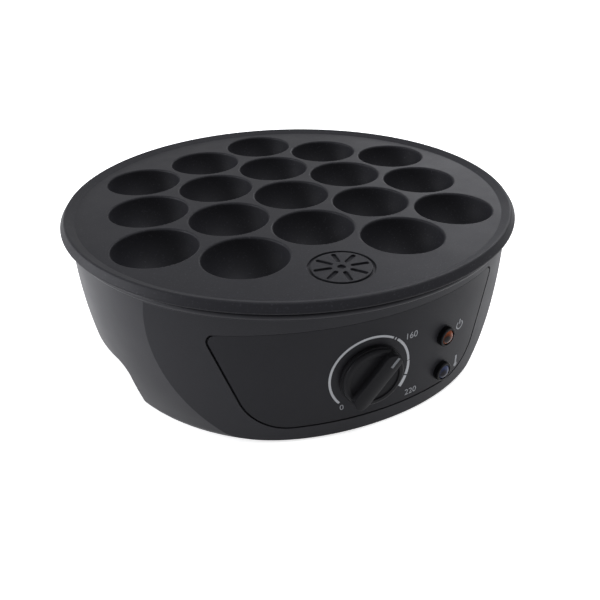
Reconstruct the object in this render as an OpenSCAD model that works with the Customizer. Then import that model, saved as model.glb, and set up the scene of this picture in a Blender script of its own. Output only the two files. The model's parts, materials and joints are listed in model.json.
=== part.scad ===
// Round countertop cooker: a cast plate with eighteen ball cups on a moulded body.
// Millimetres, +Z up, front towards -Y, origin on the table under the middle of the body.

/* [Cooking plate] */
// Diameter over the plate's band
plate_d = 252; // [246:1:262]
// Height of the cooking surface above the table
plate_top = 89; // [86:0.5:100]
// Thickness of the plate between its cups
plate_t = 4; // [3:0.5:5]
// How far the band's lower edge lies below the cooking surface
band_drop = 2.5; // [2:0.1:3]
// How far the band stands out past the disc under it
band_t = 3; // [2.5:0.5:4]
// Height of the raised lip round the edge
lip_h = 2; // [1.6:0.1:2.6]
// Distance of the lip's crest from the band's edge
crest_in = 3; // [2.6:0.1:3.6]
// Distance of the lip's foot from the band's edge
lip_w = 7.5; // [7:0.1:8.5]
// Turn of the cup pattern from the front
plate_turn = -6; // [-10:1:0]

/* [Cups] */
// Distance of the outermost cups' rims from the band's edge
edge_margin = 11.2; // [10.4:0.2:12]
// Metal between neighbouring cups, counted at the ball surface
cup_web = 3.9; // [3.4:0.1:4.6]
// Radius rolled over each cup's rim
cup_edge = 1; // [0.6:0.1:1.2]
// Wall of a cup
cup_wall = 1.9; // [1.6:0.1:2.4]
// Radius of the engraved rosette at the front
rosette_r = 16; // [12:0.5:18]
// Depth of the rosette
rosette_deep = 1; // [0.5:0.1:1.2]
// Petals of the rosette
rosette_petals = 8; // [5:1:10]

/* [Body] */
// Wall of the body
wall = 3; // [2.5:0.1:3.5]
// Wall of the flatter front
front_wall = 4.5; // [4:0.1:5.5]
// Radius of the bulge down the body's side
bulge_r = 245; // [225:1:300]
// Height of the widest part of the body
bulge_z = 67; // [58:1:72]
// Radius of the flatter front, seen from above
front_r = 156; // [150:1:180]
// How far the flatter front stands back from the plate's edge
front_inset = 19; // [17:0.5:21]
// Radius of the bead under the plate's band
bead_r = 1.5; // [1:0.1:2]
// Rounding along the bottom edge
base_fillet = 8; // [6:0.5:9]
// Gap between the body's bottom edge and the table
skirt_gap = 1.2; // [0.8:0.1:2.5]
// Length of each hand grip along the body's side
grip_w = 96; // [80:1:104]
// Height of each hand grip above the table
grip_h = 32; // [26:1:34]
// Corner radius of each hand grip
grip_corner = 8; // [4:1:12]

/* [Control panel] */
// Thickness of the panel
panel_t = 2; // [1.5:0.1:2.4]
// Groove round the panel
panel_groove = 1; // [0.6:0.1:1.5]
// Distance of the panel's middle line from the dial, towards the lamps
panel_mid = 4; // [0:0.5:6]
// How far the panel's top stops short of the plate's edge at each side
panel_in_top = 48; // [46:0.5:52]
// How far the panel's bottom stops short of the plate's edge at each side
panel_in_low = 58; // [56:0.5:62]
// Height of the panel's top edge
panel_top = 66; // [62:0.5:70]
// Height of the panel's bottom edge
panel_low = 10; // [9:0.5:12]
// Rounding of the panel's lower corners
panel_corner_low = 24; // [18:1:26]
// Rounding of the panel's upper corners
panel_corner_top = 4; // [2:0.5:6]

/* [Dial and lamps] */
// Height of the knob's axis
knob_z = 34.5; // [33:0.5:36]
// Diameter of the knob's skirt
knob_d = 34; // [30:0.5:36]
// Height of the knob's skirt
knob_skirt_h = 4.5; // [4.5:0.5:6]
// Height of the knob with its grip bar
knob_h = 8.5; // [8:0.5:12]
// Width of the grip bar
knob_bar_w = 9; // [8:0.5:11]
// Pointer's turn from straight up, clockwise
knob_rest = 40; // [0:1:90]
// Diameter of the thermostat's shaft
shaft_d = 6; // [5:0.1:6.4]
// Distance of the lamps from the middle
lamp_x = 45.5; // [43:0.5:48]
// Height midway between the two lamps
lamp_mid_z = 29.5; // [28.5:0.5:31]
// Distance between the two lamps
lamp_step = 22.4; // [20:0.2:23]
// Diameter of a lamp's lens
lamp_d = 8.2; // [7.4:0.2:9]
// How far a lamp's bezel stands out of the panel
bezel_h = 3; // [1.5:0.1:3.5]
// How far the lens stands out of the panel
lamp_proud = 4.2; // [3.4:0.1:5]

/* [Heating] */
// Diameter of the heating tube
heater_d = 8; // [6.5:0.1:8.4]
// Thickness of the clamps that hold the tube
clamp_t = 1.5; // [1:0.1:2]
// Gap that the spacers leave above the heat shield
spacer_h = 6; // [5:0.5:7]
// Sheet thickness of the heat shield
shield_t = 0.8; // [0.6:0.1:1.2]
// How far the heat shield stops short of the plate's edge
shield_inset = 29; // [28:1:34]

/* [Base] */
// Height of the feet
foot_h = 7; // [6:0.5:8]
// Diameter of a foot
foot_d = 18; // [14:0.5:20]
// Thickness of the base cover
cover_t = 2.5; // [2:0.1:3]
// Half width of the low middle of the base cover
trough_half = 75; // [72:1:80]
// Bore of the cord gland
gland_bore = 7.2; // [6:0.1:8]

/* [Hidden] */
$fn = 96;

// Clearances and small overlaps
seat_gap = 0.1;
slip_gap = 0.3;
run_gap = 0.05;
eps = 1;

// Plate
plate_r = plate_d / 2;
plate_low = plate_top - plate_t;
band_low = plate_top - band_drop;
edge_round = 1;
crest_round = 1.2;

// Cups: two pitches and half a cup reach from the middle to the outermost rims
cup_pitch = (plate_r - edge_margin - cup_edge + cup_web / 2) / (2 + 1 / 2);
cup_r = (cup_pitch - cup_web) / 2;
cup_z = plate_top - cup_edge;
cup_out_r = cup_r + cup_wall;
cup_cells = [for (col = [-2:2]) for (row = [-2:2]) if (abs(col + row) <= 2 && !(col == 0 && row == -2))
    [col, row]];
front_cell_r = 2 * cup_pitch;
petal_w = 2.4;
pad_r = 12;
pad_at = front_cell_r - 7;
pad_low = plate_low - 4;

// Plate screws, on three bosses that sit on ears of the body
screw_az = [for (k = [0:2]) plate_turn - 30 + 120 * k];
boss_r = 3.6;
ear_top = plate_top - 13;
ear_t = 3;
ear_w = 12;
ear_gap = 0.6;
ear_in = cup_pitch * sqrt(3) + sqrt(pow(cup_out_r, 2) - pow(cup_z - ear_top, 2)) + ear_gap;
screw_circle = ear_in + boss_r + 0.5;
plate_screw_deep = 7.5;

// Heating tube, in a rib between the inner and the middle ring of cups
heater_r = heater_d / 2;
ring_r = cup_pitch * (1 + sqrt(3)) / 2;
ring_plan = ring_r - cup_pitch;
ring_reach = cup_out_r + heater_r + seat_gap;
heater_z = cup_z - sqrt(ring_reach * ring_reach - ring_plan * ring_plan);
rib_half = heater_r - 0.6;
leg_turn = 7;
leg_r = heater_r + 0.3;
leg_low = 46;
bead_h = 4;
bead_pin_r = 3;
pin_r = 1.2;
pin_low = 36;

// Clamps, spacers and shield share three screws
clamp_az = [for (k = [0:2]) plate_turn + 30 + 120 * k];
clamp_circle = cup_pitch * 2 / sqrt(3);
clamp_w = 14;
clamp_in = clamp_circle - 6;
clamp_out = ring_r + heater_r + 1;
clamp_top = heater_z - heater_r - run_gap;
clamp_low = clamp_top - clamp_t;
spacer_r = 4;
shield_top = clamp_low - spacer_h;
shield_low = shield_top - shield_t;
shield_r = plate_r - shield_inset;
shield_floor_r = shield_r - 5;
shield_rim_h = 8;
m4_r = 2;
m4_head_r = 3.8;
m4_head_h = 2.6;
m3_r = 1.5;
m3_head_r = 2.9;
m3_head_h = 2;
shield_screw_top = clamp_top + 10;

// Body
shell_r = plate_r - band_t - 1;
shell_top = plate_low - slip_gap;
bulge_x = shell_r - bulge_r;
bead_z = shell_top - bead_r - slip_gap;
collar_h = 4;
collar_low = shell_top - collar_h;
fillet_z = skirt_gap + base_fillet;
fillet_x = bulge_x + sqrt(pow(bulge_r - base_fillet, 2) - pow(bulge_z - fillet_z, 2));
fillet_join = bulge_z - (bulge_z - fillet_z) * bulge_r / (bulge_r - base_fillet);
mouth_r = fillet_x - 1;
front_y = plate_r - front_inset;
front_c = front_r - front_y;
grip_in = trough_half - 5;

// Panel outline: two corner circles a side, joined by the side's own slope
panel_half_top = plate_r - panel_in_top;
panel_half_low = plate_r - panel_in_low;
panel_low_c = [panel_half_low - panel_corner_low, panel_low + panel_corner_low];
panel_top_c = [panel_half_top - panel_corner_top, panel_top - panel_corner_top];
panel_run = panel_top_c - panel_low_c;
panel_side = atan2(panel_run[1], panel_run[0]) - 90
    + asin((panel_corner_low - panel_corner_top) / norm(panel_run));
panel_back_gap = seat_gap;

// Dial parts, along the axis that points out of the front
shaft_r = shaft_d / 2;
bush_r = shaft_r + 1.9;
bush_hole_r = bush_r + 0.2;
nut_h = 2;
bush_out = nut_h + 0.2;
nut_flats = 2 * bush_r + 4.2;
knob_r = knob_d / 2;
knob_gap = 0.5;
knob_hollow = bush_out + 0.6;
knob_hollow_r = nut_flats / sqrt(3) + 3.5;
knob_round = 1.6;
knob_bar_half = knob_r - 0.3;
knob_bar_low = knob_gap + 1;
knob_crown_r = 14;
shaft_out = knob_h - 2;
shaft_flat = shaft_r - 0.8;
pointer_w = 1.5;
pointer_l = 6;
pointer_out = knob_bar_half - 0.6;
pointer_deep = 0.6;
pointer_proud = 0.15;
thermo_w = 30;
thermo_h = 30;
thermo_deep = 18;
thermo_front = -front_wall - 1.5;
thermo_back = thermo_front - thermo_deep;
thermo_pad = 26;
tab_x = 7;
tab_w = 6.3;
tab_t = 0.8;
tab_l = 8;
tab_z = knob_z - 5;
tab_end_y = -front_y - thermo_back + tab_l;

// Lamps
lamp_r = lamp_d / 2;
lamp_tube = 1.2;
lamp_deep = 12;
bezel_in = lamp_r + seat_gap;
bezel_out = bezel_in + 0.7;
bezel_flange_r = bezel_out + 0.6;
bezel_round = 0.6;
lamp_hole_r = bezel_out + seat_gap;
bezel_deep = front_wall + 2;
retainer_r = bezel_out + 1.8;
retainer_top = front_wall + slip_gap;
retainer_h = 1.5;
plug_h = 2.5;
neon_r = 2.4;
lamp_heights = [lamp_mid_z + lamp_step / 2, lamp_mid_z - lamp_step / 2];

// Capillary sensor, under the rosette where the pattern leaves out a cup
bulb_r = 2.5;
bulb_half = 13;
bulb_z = pad_low - bulb_r;
capillary_r = 1;
capillary_x = 10;
capillary_y = -pad_at - 0.4;
clip_w = 7;
clip_t = 1;
clip_ear = 6;
clip_screw_deep = 5;

// Base
cover_top = foot_h + cover_t;
mouth_top = cover_top + 2;
shelf_low = grip_h + 2;
shelf_top = shelf_low + cover_t;
foot_at = [[-52, -66], [52, -66], [-52, 66], [52, 66]];
foot_stem_r = 3;
foot_head_r = 4.4;
foot_head_h = 1.5;
post_r = 6;
post_top = 30;
post_web = 4;
web_in = 3;
post_at = [[-28, post_front(28)], [28, post_front(28)], [-40, post_rear(40)], [40, post_rear(40)]];
post_screw_deep = 14;
vent_w = 3;
vent_l = 26;
vent_step = 8;
vent_count = 6;
vent_x = 10;
vent_y = [-34, 34];

// Cord gland, on a flat boss at the back
gland_r = gland_bore / 2;
gland_out_r = gland_r + 2.8;
gland_flange_r = gland_out_r + 2.6;
gland_flange_t = 2.5;
gland_z = 24;
gland_boss_r = gland_flange_r + 1;
gland_seat = side_r(gland_z + gland_boss_r) + slip_gap;
gland_back = side_r(gland_z - gland_boss_r) - wall - slip_gap;
gland_nut_t = 3;
gland_end = gland_back - gland_nut_t - 3;

// Terminal block
block_at = [-24, 62];
block_size = [46, 20, 16];
block_pole_x = [for (k = [0:3]) block_at[0] + 11 * (k - 1.5)];
block_front = block_at[1] - block_size[1] / 2;
block_lead_z = cover_top + 10;
block_boss_h = 4;
block_recess = 4;
block_screw_deep = cover_t + 3;

// Thermal fuse, under the heat shield
fuse_r = 2.2;
fuse_half = 9;
fuse_at = [-22, 15];
fuse_z = shield_low - fuse_r;
rivet_r = 1.2;
rivet_head_h = 0.8;

// Leads
lead_r = 1.2;
lead_sides = 12;
pin_a = leg_place(leg_turn);
pin_b = leg_place(-leg_turn);
lamp_end = lamp_point(lamp_deep);
lamp_turn = lamp_point(lamp_deep + 8);
lead_routes = [
    [[block_pole_x[0], block_front, block_lead_z], [block_pole_x[0], 20, block_lead_z],
        [-tab_x, -60, tab_z], [-tab_x, tab_end_y, tab_z]],
    [[tab_x, tab_end_y, tab_z], [tab_x, -60, tab_z], [25, 20, 30], [pin_b[0], pin_b[1], 30],
        [pin_b[0], pin_b[1], pin_low]],
    [[block_pole_x[3], block_front, block_lead_z], [block_pole_x[3], 42, block_lead_z],
        [fuse_at[0], 34, fuse_z], [fuse_at[0], fuse_at[1] + fuse_half, fuse_z]],
    [[fuse_at[0], fuse_at[1] - fuse_half, fuse_z], [fuse_at[0], -4, fuse_z], [-8, -6, 45],
        [pin_a[0], 40, 30], [pin_a[0], pin_a[1], 30], [pin_a[0], pin_a[1], pin_low]]];
lamp_routes = [
    [[lamp_end[0], lamp_end[1], lamp_heights[0]], [lamp_turn[0], lamp_turn[1], lamp_heights[0]],
        [44, -66, 18], [-12, 24, 16], [block_pole_x[2], 44, block_lead_z],
        [block_pole_x[2], block_front, block_lead_z]],
    [[lamp_end[0], lamp_end[1], lamp_heights[1]], [lamp_turn[0], lamp_turn[1], lamp_heights[1]],
        [34, -66, 16], [-24, 24, 16], [block_pole_x[1], 44, block_lead_z],
        [block_pole_x[1], block_front, block_lead_z]]];

// Radius of the body's side at a height
function side_r(z) = bulge_x + sqrt(bulge_r * bulge_r - pow(z - bulge_z, 2));

// Place of a screw post against the inside of the front or the back wall
function post_front(x) = front_c - sqrt(pow(front_r - front_wall, 2) - x * x) + post_r - 1;
function post_rear(x) = sqrt(pow(mouth_r - m3_head_r - slip_gap, 2) - x * x);

// Place of a heating tube leg, counted from the back
function leg_place(turn) = [ring_r * cos(90 + plate_turn + turn), ring_r * sin(90 + plate_turn + turn)];

// Place of a point on a lamp's axis, counted in from the panel's face
function lamp_point(deep) = [lamp_x * (1 - deep / front_r),
    front_c - (front_r - deep) * cos(asin(lamp_x / front_r))];

// Middle of a cup cell in the plate's own pattern
function cell(c) = [c[0] * cup_pitch * sqrt(3) / 2, cup_pitch * (c[1] + c[0] / 2), 0];

// Points round an arc
function arc(c, r, a0, a1, steps) = [for (k = [0:steps]) let (a = a0 + (a1 - a0) * k / steps)
    c + r * [cos(a), sin(a)]];

// Panel outline, grown all round by a margin
function panel_outline(grow) = concat(
    arc(panel_low_c, panel_corner_low + grow, -90, panel_side, 12),
    arc(panel_top_c, panel_corner_top + grow, panel_side, 90, 6),
    arc([-panel_top_c[0], panel_top_c[1]], panel_corner_top + grow, 90, 180 - panel_side, 6),
    arc([-panel_low_c[0], panel_low_c[1]], panel_corner_low + grow, 180 - panel_side, 270, 12));

// Unit vector along a direction
function unit(v) = v / norm(v);

// Point on a unit circle square to a direction
function ring_offset(way, k) = let (along = unit(way), side = abs(along[2]) > 0.9 ? [1, 0, 0] : [0, 0, 1],
    u = unit(cross(side, along)), v = cross(along, u), a = 360 * k / lead_sides) u * cos(a) + v * sin(a);

// Rings of a lead: each slides the one before it along the lead to the next bend's mitre
function lead_rings(route, k, ring) = k == len(route) ? [] : let (along = unit(route[k] - route[k - 1]),
    onward = k == len(route) - 1 ? along : unit(route[k + 1] - route[k]), mitre = along + onward,
    moved = [for (p = ring) p + along * ((route[k] - p) * mitre) / (along * mitre)])
    concat(moved, lead_rings(route, k + 1, moved));

// Turn a child from the front to an azimuth, at a distance from the middle
module polar(az, r) {
    rotate([0, 0, az])
        translate([0, -r, 0])
            children();
}

// Stand a child on the front face, with its +Z pointing out
module on_front(x, z) {
    translate([0, front_c, z])
        rotate([0, 0, asin(x / front_r)])
            translate([0, -front_r, 0])
                rotate([90, 0, 0])
                    children();
}

// Ring between two radii
module ring(r_out, r_in, h) {
    difference() {
        cylinder(r = r_out, h = h);
        translate([0, 0, -eps])
            cylinder(r = r_in, h = h + 2 * eps);
    }
}

// Pan head screw that points up, with its head's seat at zero
module screw_up(r, l, head_r, head_h) {
    difference() {
        union() {
            cylinder(r = r, h = l);
            translate([0, 0, -head_h])
                cylinder(r = head_r, h = head_h);
        }
        translate([0, 0, -head_h - eps])
            for (a = [0, 90])
                rotate([0, 0, a])
                    translate([-head_r * 0.6, -0.45, 0])
                        cube([head_r * 1.2, 0.9, 1.1 + eps]);
    }
}

// Saddle clip over a rod along X, hung from a face at zero
module saddle_clip(rod_r) {
    in_r = rod_r + run_gap;
    out_r = in_r + clip_t;
    difference() {
        union() {
            translate([-clip_w / 2, -out_r - clip_ear, -clip_t])
                cube([clip_w, 2 * (out_r + clip_ear), clip_t]);
            translate([-clip_w / 2, -out_r, -rod_r])
                cube([clip_w, 2 * out_r, rod_r]);
            translate([-clip_w / 2, 0, -rod_r])
                rotate([0, 90, 0])
                    cylinder(r = out_r, h = clip_w);
        }
        translate([-clip_w / 2 - eps, -in_r, -rod_r])
            cube([clip_w + 2 * eps, 2 * in_r, rod_r + 2 * eps]);
        translate([-clip_w / 2 - eps, 0, -rod_r])
            rotate([0, 90, 0])
                cylinder(r = in_r, h = clip_w + 2 * eps);
        translate([-clip_w / 2 - eps, -out_r, 0])
            cube([clip_w + 2 * eps, 2 * out_r, out_r]);
        clip_holes(rod_r)
            translate([0, 0, -clip_t - eps])
                cylinder(r = m3_r + seat_gap, h = clip_t + 2 * eps);
    }
}

// The two fastener places of a saddle clip
module clip_holes(rod_r) {
    for (s = [-1, 1])
        translate([0, s * (rod_r + clip_t + clip_ear / 2 + 0.4), 0])
            children();
}

// Round lead along a route, mitred at each bend
module lead(route, r) {
    last = len(route) - 1;
    first_ring = [for (k = [0:lead_sides - 1]) route[0] + r * ring_offset(route[1] - route[0], k)];
    rings = concat(first_ring, lead_rings(route, 1, first_ring));
    sides = [for (j = [0:last - 1]) for (k = [0:lead_sides - 1]) let (n = (k + 1) % lead_sides)
        [j * lead_sides + k, (j + 1) * lead_sides + k, (j + 1) * lead_sides + n, j * lead_sides + n]];
    low_end = [for (k = [0:lead_sides - 1]) k];
    high_end = [for (k = [0:lead_sides - 1]) last * lead_sides + lead_sides - 1 - k];
    polyhedron(points = rings, faces = concat([low_end], sides, [high_end]));
}

// Profile of the cast plate: a disc, and a lip that rises to its crest and flares out to the band
module plate_profile() {
    foot = [plate_r - lip_w, plate_top];
    crest = [plate_r - crest_in, plate_top + lip_h - crest_round];
    edge = [plate_r - edge_round, band_low + edge_round];
    rise = crest - foot;
    climb = atan2(rise[1], rise[0]) + asin(crest_round / norm(rise));
    run = edge - crest;
    turn = atan2(run[1], run[0]) + 90 + asin((edge_round - crest_round) / norm(run));
    out = [cos(turn), sin(turn)];
    translate([0, plate_low])
        square([plate_r - band_t, plate_t]);
    translate(crest)
        circle(crest_round);
    translate(edge)
        circle(edge_round);
    polygon([foot, crest + crest_round * [-sin(climb), cos(climb)], crest, crest + crest_round * out,
        edge + edge_round * out, edge, [edge[0], band_low], [foot[0], band_low]]);
}

// Hollow of one cup with its rolled rim
module cup_hollow() {
    rotate_extrude()
        union() {
            intersection() {
                translate([0, -cup_edge])
                    circle(cup_r);
                translate([0, -cup_edge - cup_r])
                    square([cup_r, cup_r]);
            }
            difference() {
                translate([0, -cup_edge])
                    square([cup_r + cup_edge, cup_edge + lip_h]);
                translate([cup_r + cup_edge, -cup_edge])
                    circle(cup_edge);
            }
        }
}

// Outside of one cup below the plate
module cup_bowl() {
    rotate_extrude()
        intersection() {
            circle(cup_out_r);
            translate([0, -cup_out_r])
                square([cup_out_r, cup_out_r]);
        }
}

// Rosette of petals in a ring, as the cutter that engraves it
module rosette() {
    petal_l = rosette_r - 7;
    cut_h = rosette_deep + eps;
    translate([0, 0, -rosette_deep]) {
        ring(rosette_r, rosette_r - 1.6, cut_h);
        cylinder(r = 2, h = cut_h);
        for (k = [0:rosette_petals - 1])
            rotate([0, 0, k * 360 / rosette_petals])
                translate([0, 4.5, 0]) {
                    translate([-petal_w / 2, petal_w / 2, 0])
                        cube([petal_w, petal_l - petal_w, cut_h]);
                    for (y = [petal_w / 2, petal_l - petal_w / 2])
                        translate([0, y, 0])
                            cylinder(r = petal_w / 2, h = cut_h);
                }
    }
}

module cooking_plate() {
    color("#3a3a3f")
        rotate([0, 0, plate_turn])
            difference() {
                union() {
                    rotate_extrude()
                        plate_profile();
                    for (c = cup_cells)
                        translate(cell(c) + [0, 0, cup_z])
                            cup_bowl();
                    translate([0, 0, heater_z])
                        ring(ring_r + rib_half, ring_r - rib_half, plate_low - heater_z + eps);
                    translate([0, -pad_at, pad_low])
                        cylinder(r = pad_r, h = plate_low - pad_low + eps);
                    for (az = screw_az)
                        polar(az - plate_turn, screw_circle)
                            translate([0, 0, ear_top])
                                cylinder(r = boss_r, h = plate_low - ear_top + eps);
                    for (az = clamp_az)
                        polar(az - plate_turn, clamp_circle)
                            translate([0, 0, clamp_top])
                                cylinder(r = boss_r, h = plate_low - clamp_top + eps);
                }
                for (c = cup_cells)
                    translate(cell(c) + [0, 0, plate_top])
                        cup_hollow();
                translate([0, -front_cell_r, plate_top])
                    rosette();
                translate([0, 0, heater_z])
                    rotate_extrude()
                        translate([ring_r, 0])
                            circle(heater_r + seat_gap);
                for (turn = [-leg_turn, leg_turn])
                    rotate([0, 0, 90 + turn])
                        translate([ring_r, 0, heater_z - eps])
                            cylinder(r = leg_r + 0.7, h = 2 + eps);
                for (az = screw_az)
                    polar(az - plate_turn, screw_circle)
                        translate([0, 0, ear_top - eps])
                            cylinder(r = m4_r + run_gap, h = plate_screw_deep + 1 + eps);
                for (az = clamp_az)
                    polar(az - plate_turn, clamp_circle)
                        translate([0, 0, clamp_top - eps])
                            cylinder(r = m4_r + run_gap, h = shield_screw_top - clamp_top + 1 + eps);
                translate([0, -pad_at, pad_low - eps])
                    clip_holes(bulb_r)
                        cylinder(r = m3_r + run_gap, h = clip_screw_deep + eps);
            }
}

module heating_element() {
    color("#5b5a58")
        rotate([0, 0, plate_turn]) {
            translate([0, 0, heater_z])
                rotate([0, 0, 90 + leg_turn])
                    rotate_extrude(angle = 360 - 2 * leg_turn)
                        translate([ring_r, 0])
                            circle(heater_r);
            for (turn = [-leg_turn, leg_turn])
                rotate([0, 0, 90 + turn])
                    translate([ring_r, 0, leg_low])
                        cylinder(r = leg_r, h = heater_z + 1 - leg_low);
        }
}

module heater_terminals() {
    color("#d8d2c4")
        for (p = [pin_a, pin_b])
            translate([p[0], p[1], 0]) {
                translate([0, 0, leg_low - bead_h])
                    cylinder(r = bead_pin_r, h = bead_h);
                translate([0, 0, pin_low])
                    cylinder(r = pin_r, h = leg_low - bead_h - pin_low + eps);
            }
}

module heater_clamps() {
    color("#b9bcc0")
        for (az = clamp_az)
            difference() {
                polar(az, 0)
                    translate([-clamp_w / 2, -clamp_out, clamp_low])
                        cube([clamp_w, clamp_out - clamp_in, clamp_t]);
                polar(az, clamp_circle)
                    translate([0, 0, clamp_low - eps])
                        cylinder(r = m4_r + seat_gap, h = clamp_t + 2 * eps);
            }
}

module heat_shield() {
    color("#c3c6c9")
        difference() {
            translate([0, 0, shield_low])
                rotate_extrude()
                    polygon([[0, 0], [shield_floor_r + shield_t / 2, 0], [shield_r, shield_rim_h],
                        [shield_r - shield_t, shield_rim_h + shield_t / 2], [shield_floor_r, shield_t],
                        [0, shield_t]]);
            for (az = clamp_az)
                polar(az, clamp_circle)
                    translate([0, 0, shield_low - eps])
                        cylinder(r = m4_r + seat_gap, h = shield_t + 2 * eps);
            for (p = [pin_a, pin_b])
                translate([p[0], p[1], shield_low - eps])
                    cylinder(r = leg_r + 1, h = shield_t + 2 * eps);
            translate([capillary_x, capillary_y, shield_low - eps])
                cylinder(r = capillary_r + 1.5, h = shield_t + 2 * eps);
            translate([fuse_at[0], fuse_at[1], shield_low - eps])
                rotate([0, 0, 90])
                    clip_holes(fuse_r)
                        cylinder(r = rivet_r + run_gap, h = shield_t + 2 * eps);
        }
}

module shield_spacers() {
    color("#aeb2b6")
        for (az = clamp_az)
            polar(az, clamp_circle)
                translate([0, 0, shield_top])
                    ring(spacer_r, m4_r + seat_gap, spacer_h);
}

module shield_screws() {
    color("#9a9da1")
        for (az = clamp_az)
            polar(az, clamp_circle)
                translate([0, 0, shield_low])
                    screw_up(m4_r, shield_screw_top - shield_low, m4_head_r, m4_head_h);
}

module plate_screws() {
    color("#9a9da1")
        for (az = screw_az)
            polar(az, screw_circle)
                translate([0, 0, ear_top - ear_t])
                    screw_up(m4_r, ear_t + plate_screw_deep, m4_head_r, m4_head_h);
}

// Round body turned from its bulged side, with a bead and a rolled bottom edge
module round_form() {
    rotate_extrude() {
        intersection() {
            translate([0, skirt_gap])
                square([shell_r, shell_top - skirt_gap]);
            translate([bulge_x, bulge_z])
                circle(bulge_r, $fn = 180);
            union() {
                translate([0, fillet_join])
                    square([shell_r, shell_top - fillet_join]);
                translate([0, skirt_gap])
                    square([fillet_x, shell_top - skirt_gap]);
                translate([fillet_x, fillet_z])
                    circle(base_fillet);
            }
        }
        translate([side_r(bead_z) - 0.3, bead_z])
            circle(bead_r);
    }
}

// Outside of the body: the flatter front is cut upright, and the collar at the top stays round
module outer_form() {
    intersection() {
        round_form();
        union() {
            translate([0, front_c, 0])
                cylinder(r = front_r, h = shell_top + eps, $fn = 180);
            translate([0, 0, collar_low])
                cylinder(r = plate_r, h = 2 * collar_h);
        }
    }
}

// Space inside the body, drawn in by a gap, with a narrower mouth inside the rolled bottom edge
module cavity(gap) {
    intersection() {
        rotate_extrude()
            intersection() {
                translate([0, -eps])
                    square([shell_r, shell_top + 2 * eps]);
                translate([bulge_x, bulge_z])
                    circle(bulge_r - wall - gap, $fn = 180);
                union() {
                    translate([0, mouth_top + gap])
                        square([shell_r, shell_top]);
                    translate([0, -eps])
                        square([mouth_r - gap, shell_top]);
                }
            }
        translate([0, front_c, -eps])
            cylinder(r = front_r - front_wall - gap, h = shell_top + 2 * eps, $fn = 180);
    }
}

// Panel shape cut from a layer of the front, grown at its sides and below
module panel_layer(r_out, r_in, grow) {
    intersection() {
        translate([-plate_r, -plate_r, 0])
            cube([plate_d, plate_r, panel_top + min(grow, seat_gap)]);
        difference() {
            translate([0, front_c, 0])
                cylinder(r = r_out, h = plate_top, $fn = 180);
            translate([0, front_c, -eps])
                cylinder(r = r_in, h = plate_top + 2 * eps, $fn = 180);
        }
        translate([panel_mid, 0, 0])
            rotate([90, 0, 0])
                linear_extrude(height = front_y + 10)
                    polygon(panel_outline(grow));
    }
}

// Holes through the front for the thermostat's bush and the lamps
module front_holes() {
    on_front(0, knob_z)
        translate([0, 0, thermo_front - eps])
            cylinder(r = bush_hole_r, h = -thermo_front + 2 * eps);
    for (z = lamp_heights)
        on_front(lamp_x, z)
            translate([0, 0, -front_wall - 2 * eps])
                cylinder(r = lamp_hole_r, h = front_wall + 4 * eps);
}

// Side opening that a hand reaches under
module grip_notch() {
    half = grip_w / 2;
    rotate([90, 0, 90])
        translate([0, 0, grip_in])
            linear_extrude(height = shell_r) {
                translate([-half, -eps])
                    square([grip_w, grip_h - grip_corner + eps]);
                translate([-half + grip_corner, -eps])
                    square([grip_w - 2 * grip_corner, grip_h + eps]);
                for (s = [-1, 1])
                    translate([s * (half - grip_corner), grip_h - grip_corner])
                        circle(grip_corner);
            }
}

module body_shell() {
    color("#26262a")
        difference() {
            union() {
                difference() {
                    outer_form();
                    cavity(0);
                    grip_notch();
                    mirror([1, 0, 0])
                        grip_notch();
                }
                intersection() {
                    cavity(-eps);
                    union() {
                        for (az = screw_az)
                            polar(az, 0)
                                translate([-ear_w / 2, -shell_r, ear_top - ear_t])
                                    cube([ear_w, shell_r - ear_in, ear_t]);
                        for (p = post_at)
                            rotate([0, 0, atan2(p[1], p[0])])
                                translate([norm(p), -post_web / 2, cover_top + web_in])
                                    cube([shell_r - norm(p), post_web, post_top - cover_top - 2 * web_in]);
                    }
                }
                for (p = post_at)
                    translate([p[0], p[1], cover_top])
                        cylinder(r = post_r, h = post_top - cover_top);
                on_front(0, knob_z)
                    translate([-thermo_pad / 2, -thermo_pad / 2, thermo_front])
                        cube([thermo_pad, thermo_pad, -thermo_front - front_wall + 0.8]);
                translate([0, gland_back, gland_z])
                    rotate([-90, 0, 0])
                        cylinder(r = gland_boss_r, h = gland_seat - gland_back);
            }
            panel_layer(front_r + eps, front_r - panel_t - panel_back_gap, panel_groove);
            front_holes();
            for (az = screw_az)
                polar(az, screw_circle)
                    translate([0, 0, ear_top - ear_t - eps])
                        cylinder(r = m4_r + 0.2, h = ear_t + 2 * eps);
            for (p = post_at)
                translate([p[0], p[1], cover_top - eps])
                    cylinder(r = m3_r + run_gap, h = post_screw_deep + 2 * eps);
            translate([0, gland_back - eps, gland_z])
                rotate([-90, 0, 0])
                    cylinder(r = gland_out_r + seat_gap, h = gland_seat - gland_back + 2 * eps);
        }
}

module control_panel() {
    color("#2d2d31")
        difference() {
            panel_layer(front_r, front_r - panel_t, 0);
            front_holes();
        }
}

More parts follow.
